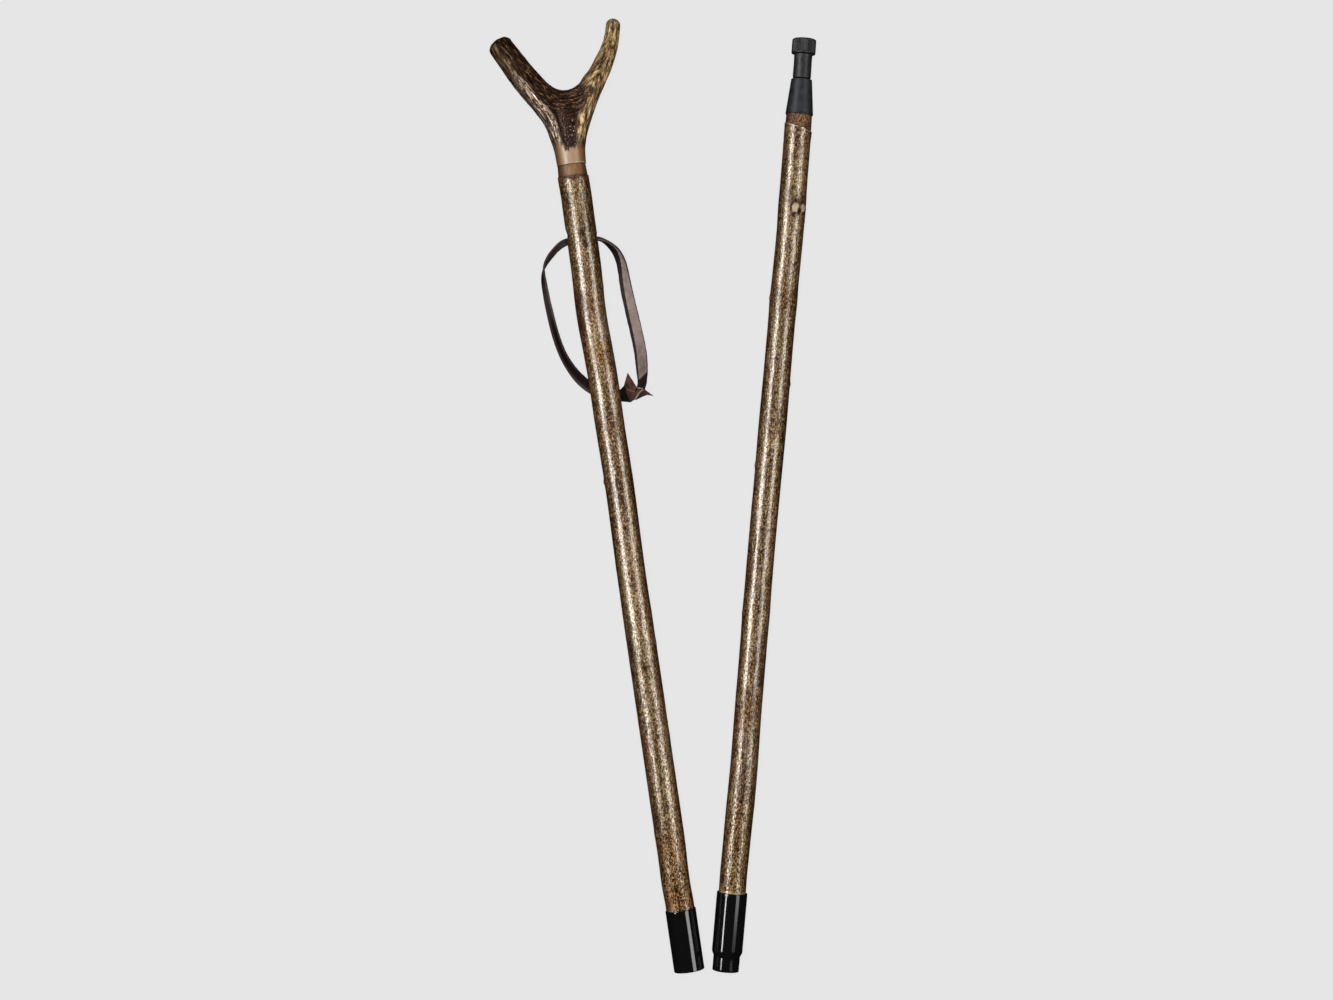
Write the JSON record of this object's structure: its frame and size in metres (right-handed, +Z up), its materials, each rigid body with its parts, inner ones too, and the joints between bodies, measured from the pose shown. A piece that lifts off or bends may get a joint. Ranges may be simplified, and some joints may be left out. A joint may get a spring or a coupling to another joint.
{
  "type": "stalking stick",
  "caption": "Take-down stalking stick laid out in its sections: antler fork rest on a barked hazel shank with leather wrist strap, and a lower shank with cone tip and rubber foot.",
  "frame": {"origin": "bottom centre of the whole laid-out set, on the surface that it lies on", "axes": "+Y along the sticks, towards the antler fork and the rubber foot; +X from the upper section to the lower one; +Z up from the surface"},
  "size_m": [0.3097, 0.9069, 0.0331],
  "materials": {
    "antler": "satin",
    "stained_wood": "satin",
    "varnished_hazel": "gloss",
    "brown_leather": "matte",
    "gloss_black_steel": "gloss",
    "matte_dark_metal": "matte",
    "bright_steel": "satin",
    "brass": "satin",
    "black_rubber": "matte"
  },
  "bodies": {
    "upper_section": {"antler_fork": "antler", "fork_stud": "bright_steel", "collar": "stained_wood", "upper_shank": "varnished_hazel", "upper_ferrule": "gloss_black_steel", "joint_stud": "bright_steel"},
    "lower_section": {"lower_ferrule": "gloss_black_steel", "threaded_insert": "brass", "lower_shank": "varnished_hazel", "tip_ferrule": "matte_dark_metal", "tip_spike": "bright_steel"},
    "foot": {"rubber_foot": "black_rubber", "foot_washer": "bright_steel"},
    "strap": {"wrist_strap": "brown_leather"}
  },
  "joints": [
    {"name": "section_swing", "type": "hinge", "parent": "upper_section", "child": "lower_section", "pos_m": [0.05182, -0.45051, 0.014], "axis": [0, 0, -1], "range_deg": [0, 166.72]},
    {"name": "strap_swing", "type": "hinge", "parent": "upper_section", "child": "strap", "pos_m": [-0.06689, 0.2423, 0.01805], "axis": [0.9894, 0.1449, 0], "range_deg": [0, 150]},
    {"name": "foot_pull", "type": "slide", "parent": "lower_section", "child": "foot", "axis": [0.0689, 0.9976, -0.0018], "range_m": [0, 0.04]}
  ]
}
